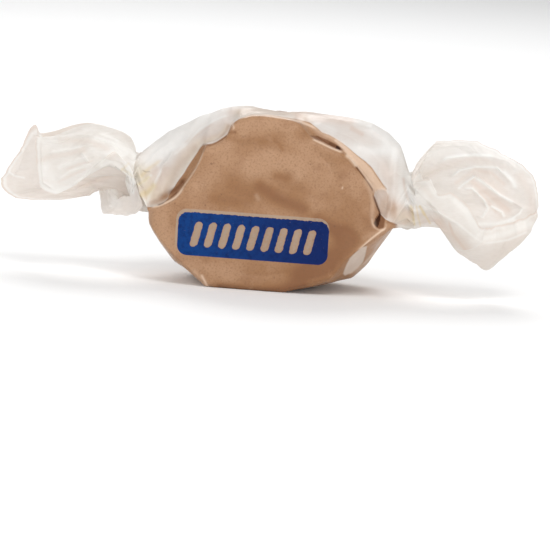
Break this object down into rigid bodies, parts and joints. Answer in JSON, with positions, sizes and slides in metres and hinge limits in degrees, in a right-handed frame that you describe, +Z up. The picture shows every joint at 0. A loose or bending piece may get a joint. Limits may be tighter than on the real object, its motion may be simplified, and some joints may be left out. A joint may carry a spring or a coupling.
{
  "type": "salt water taffy",
  "caption": "Oval slab of pulled taffy in a thin paper wrapper, twisted shut at both sides into a bag-shaped and a cup-shaped fan.",
  "frame": {"origin": "middle of the flat underside that it rests on", "axes": "+X along the twist axis towards the cup-shaped fan, -Y out of the flat front face with the printed panel, +Z up"},
  "size_m": [0.0698, 0.015, 0.023],
  "materials": {
    "taffy": "satin",
    "waxed_paper": "translucent, waxed"
  },
  "bodies": {
    "root": {"taffy": "taffy", "wrapper": "waxed_paper"}
  },
  "joints": []
}
